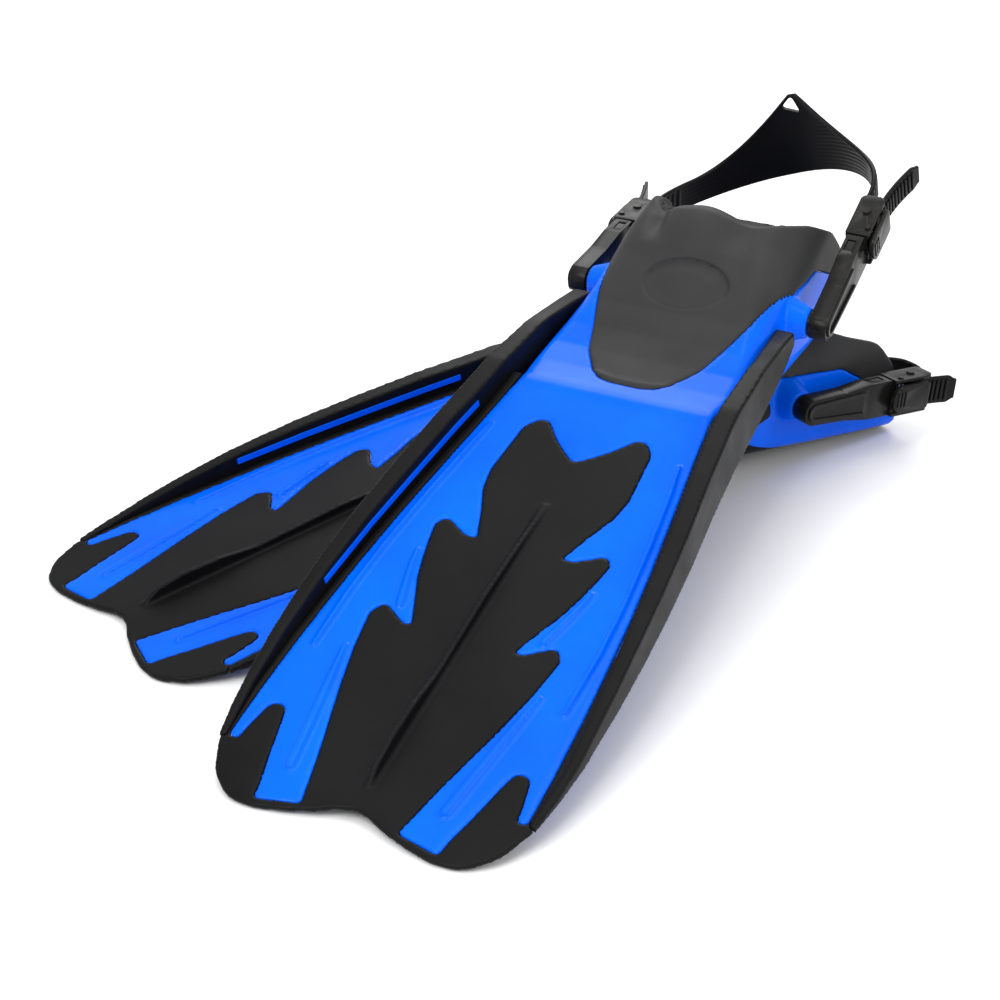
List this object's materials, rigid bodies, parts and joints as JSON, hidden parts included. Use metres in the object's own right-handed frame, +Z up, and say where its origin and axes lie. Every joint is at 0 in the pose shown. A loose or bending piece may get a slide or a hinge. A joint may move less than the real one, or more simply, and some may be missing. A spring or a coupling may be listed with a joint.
{
  "type": "swim fins",
  "caption": "Pair of open-heel swim fins lying across each other, with ribbed blades, foot pockets, heel straps, clip arms and ladder buckles.",
  "frame": {"origin": "middle of the pair's bounding box in plan, at floor level", "axes": "+Z up from the floor; +Y along the lower fin from its blade tip to its heel; +X to the side the upper fin's blade points to"},
  "size_m": [0.491, 0.7011, 0.2455],
  "materials": {
    "blue_plastic": "gloss",
    "black_rubber": "satin",
    "upper_rubber": "matte",
    "tread_rubber": "matte",
    "buckle_plastic": "satin",
    "steel": "satin"
  },
  "bodies": {
    "lower_fin": {"lower_blade_frame": "blue_plastic", "lower_blade_membrane": "black_rubber", "lower_foot_upper": "upper_rubber", "lower_footbed": "upper_rubber", "lower_sole_tread": "tread_rubber", "lower_right_rail": "black_rubber", "lower_right_rail_inlay": "blue_plastic", "lower_right_strap_post": "buckle_plastic", "lower_left_rail": "black_rubber", "lower_left_rail_inlay": "blue_plastic", "lower_left_strap_post": "buckle_plastic"},
    "lower_strap_unit": {"lower_heel_strap": "black_rubber", "lower_buckle_pins": "buckle_plastic", "lower_lever_springs": "steel", "lower_right_clip_arm": "buckle_plastic", "lower_right_buckle_frame": "buckle_plastic", "lower_left_clip_arm": "buckle_plastic", "lower_left_buckle_frame": "buckle_plastic"},
    "lower_right_release_lever_body": {"lower_right_release_lever": "buckle_plastic"},
    "lower_right_latch_top_body": {"lower_right_latch_top": "buckle_plastic"},
    "lower_right_latch_bottom_body": {"lower_right_latch_bottom": "buckle_plastic"},
    "lower_right_roller_body": {"lower_right_roller": "buckle_plastic"},
    "lower_left_release_lever_body": {"lower_left_release_lever": "buckle_plastic"},
    "lower_left_latch_top_body": {"lower_left_latch_top": "buckle_plastic"},
    "lower_left_latch_bottom_body": {"lower_left_latch_bottom": "buckle_plastic"},
    "lower_left_roller_body": {"lower_left_roller": "buckle_plastic"},
    "upper_fin": {"upper_blade_frame": "blue_plastic", "upper_blade_membrane": "black_rubber", "upper_foot_upper": "upper_rubber", "upper_footbed": "upper_rubber", "upper_sole_tread": "tread_rubber", "upper_right_rail": "black_rubber", "upper_right_rail_inlay": "blue_plastic", "upper_right_strap_post": "buckle_plastic", "upper_left_rail": "black_rubber", "upper_left_rail_inlay": "blue_plastic", "upper_left_strap_post": "buckle_plastic"},
    "upper_strap_unit": {"upper_heel_strap": "black_rubber", "upper_buckle_pins": "buckle_plastic", "upper_lever_springs": "steel", "upper_right_clip_arm": "buckle_plastic", "upper_right_buckle_frame": "buckle_plastic", "upper_left_clip_arm": "buckle_plastic", "upper_left_buckle_frame": "buckle_plastic"},
    "upper_right_release_lever_body": {"upper_right_release_lever": "buckle_plastic"},
    "upper_right_latch_top_body": {"upper_right_latch_top": "buckle_plastic"},
    "upper_right_latch_bottom_body": {"upper_right_latch_bottom": "buckle_plastic"},
    "upper_right_roller_body": {"upper_right_roller": "buckle_plastic"},
    "upper_left_release_lever_body": {"upper_left_release_lever": "buckle_plastic"},
    "upper_left_latch_top_body": {"upper_left_latch_top": "buckle_plastic"},
    "upper_left_latch_bottom_body": {"upper_left_latch_bottom": "buckle_plastic"},
    "upper_left_roller_body": {"upper_left_roller": "buckle_plastic"}
  },
  "joints": [
    {"name": "lower_strap_swing", "type": "hinge", "parent": "lower_fin", "child": "lower_strap_unit", "pos_m": [-0.10862, 0.20794, 0.05511], "axis": [1, 0, 0], "range_deg": [-4, 6]},
    {"name": "lower_right_lever_press", "type": "hinge", "parent": "lower_strap_unit", "child": "lower_right_release_lever_body", "pos_m": [-0.01012, 0.29351, 0.04658], "axis": [0, -0.0991, -0.9951], "range_deg": [0, 8], "stiffness_Nm_per_rad": 0.08},
    {"name": "lower_right_latch_press", "type": "hinge", "parent": "lower_strap_unit", "child": "lower_right_latch_top_body", "pos_m": [-0.01712, 0.29348, 0.05634], "axis": [1, 0, 0], "range_deg": [0, 5.5], "stiffness_Nm_per_rad": 0.12},
    {"name": "lower_right_latch_follow", "type": "hinge", "parent": "lower_strap_unit", "child": "lower_right_latch_bottom_body", "pos_m": [-0.01712, 0.29156, 0.03703], "axis": [-1, 0, 0], "range_deg": [0, 5.5]},
    {"name": "lower_right_roller_spin", "type": "hinge", "parent": "lower_strap_unit", "child": "lower_right_roller_body", "pos_m": [-0.01612, 0.30944, 0.045], "axis": [0, 0.0991, 0.9951], "continuous": true},
    {"name": "lower_left_lever_press", "type": "hinge", "parent": "lower_strap_unit", "child": "lower_left_release_lever_body", "pos_m": [-0.20712, 0.29351, 0.04658], "axis": [0, 0.0991, 0.9951], "range_deg": [0, 8], "stiffness_Nm_per_rad": 0.08},
    {"name": "lower_left_latch_press", "type": "hinge", "parent": "lower_strap_unit", "child": "lower_left_latch_top_body", "pos_m": [-0.20012, 0.29348, 0.05634], "axis": [1, 0, 0], "range_deg": [0, 5.5], "stiffness_Nm_per_rad": 0.12},
    {"name": "lower_left_latch_follow", "type": "hinge", "parent": "lower_strap_unit", "child": "lower_left_latch_bottom_body", "pos_m": [-0.20012, 0.29156, 0.03703], "axis": [-1, 0, 0], "range_deg": [0, 5.5]},
    {"name": "lower_left_roller_spin", "type": "hinge", "parent": "lower_strap_unit", "child": "lower_left_roller_body", "pos_m": [-0.20112, 0.30944, 0.045], "axis": [0, 0.0991, 0.9951], "continuous": true},
    {"name": "upper_fin_lift", "type": "slide", "parent": "lower_fin", "child": "upper_fin", "axis": [0, 0, 1], "range_m": [0, 0.25]},
    {"name": "upper_strap_swing", "type": "hinge", "parent": "upper_fin", "child": "upper_strap_unit", "pos_m": [-0.07111, 0.14228, 0.13727], "axis": [0.8846, 0.4664, 0], "range_deg": [-8, 70]},
    {"name": "upper_right_lever_press", "type": "hinge", "parent": "upper_strap_unit", "child": "upper_right_release_lever_body", "pos_m": [-0.02012, 0.25677, 0.17457], "axis": [-0.2023, 0.3836, -0.9011], "range_deg": [0, 8], "stiffness_Nm_per_rad": 0.08},
    {"name": "upper_right_latch_press", "type": "hinge", "parent": "upper_strap_unit", "child": "upper_right_latch_top_body", "pos_m": [-0.02393, 0.24899, 0.18287], "axis": [0.8846, 0.4664, 0], "range_deg": [0, 5.5], "stiffness_Nm_per_rad": 0.12},
    {"name": "upper_right_latch_follow", "type": "hinge", "parent": "upper_strap_unit", "child": "upper_right_latch_bottom_body", "pos_m": [-0.02785, 0.25643, 0.16539], "axis": [-0.8846, -0.4664, 0], "range_deg": [0, 5.5]},
    {"name": "upper_right_roller_spin", "type": "hinge", "parent": "upper_strap_unit", "child": "upper_right_roller_body", "pos_m": [-0.03215, 0.26672, 0.1815], "axis": [0.2023, -0.3836, 0.9011], "continuous": true},
    {"name": "upper_left_lever_press", "type": "hinge", "parent": "upper_strap_unit", "child": "upper_left_release_lever_body", "pos_m": [-0.19821, 0.17216, 0.14432], "axis": [0.0382, -0.0725, 0.9966], "range_deg": [0, 8], "stiffness_Nm_per_rad": 0.08},
    {"name": "upper_left_latch_press", "type": "hinge", "parent": "upper_strap_unit", "child": "upper_left_latch_top_body", "pos_m": [-0.19118, 0.17384, 0.1539], "axis": [0.8846, 0.4664, 0], "range_deg": [0, 5.5], "stiffness_Nm_per_rad": 0.12},
    {"name": "upper_left_latch_follow", "type": "hinge", "parent": "upper_strap_unit", "child": "upper_left_latch_bottom_body", "pos_m": [-0.19193, 0.17525, 0.13457], "axis": [-0.8846, -0.4664, 0], "range_deg": [0, 5.5]},
    {"name": "upper_left_roller_spin", "type": "hinge", "parent": "upper_strap_unit", "child": "upper_left_roller_body", "pos_m": [-0.20034, 0.18906, 0.14563], "axis": [0.0382, -0.0725, 0.9966], "continuous": true}
  ],
  "couplings": [
    {"joint": "lower_right_latch_follow", "follows": "lower_right_latch_press", "ratio": 1},
    {"joint": "lower_left_latch_follow", "follows": "lower_left_latch_press", "ratio": 1},
    {"joint": "upper_right_latch_follow", "follows": "upper_right_latch_press", "ratio": 1},
    {"joint": "upper_left_latch_follow", "follows": "upper_left_latch_press", "ratio": 1}
  ]
}
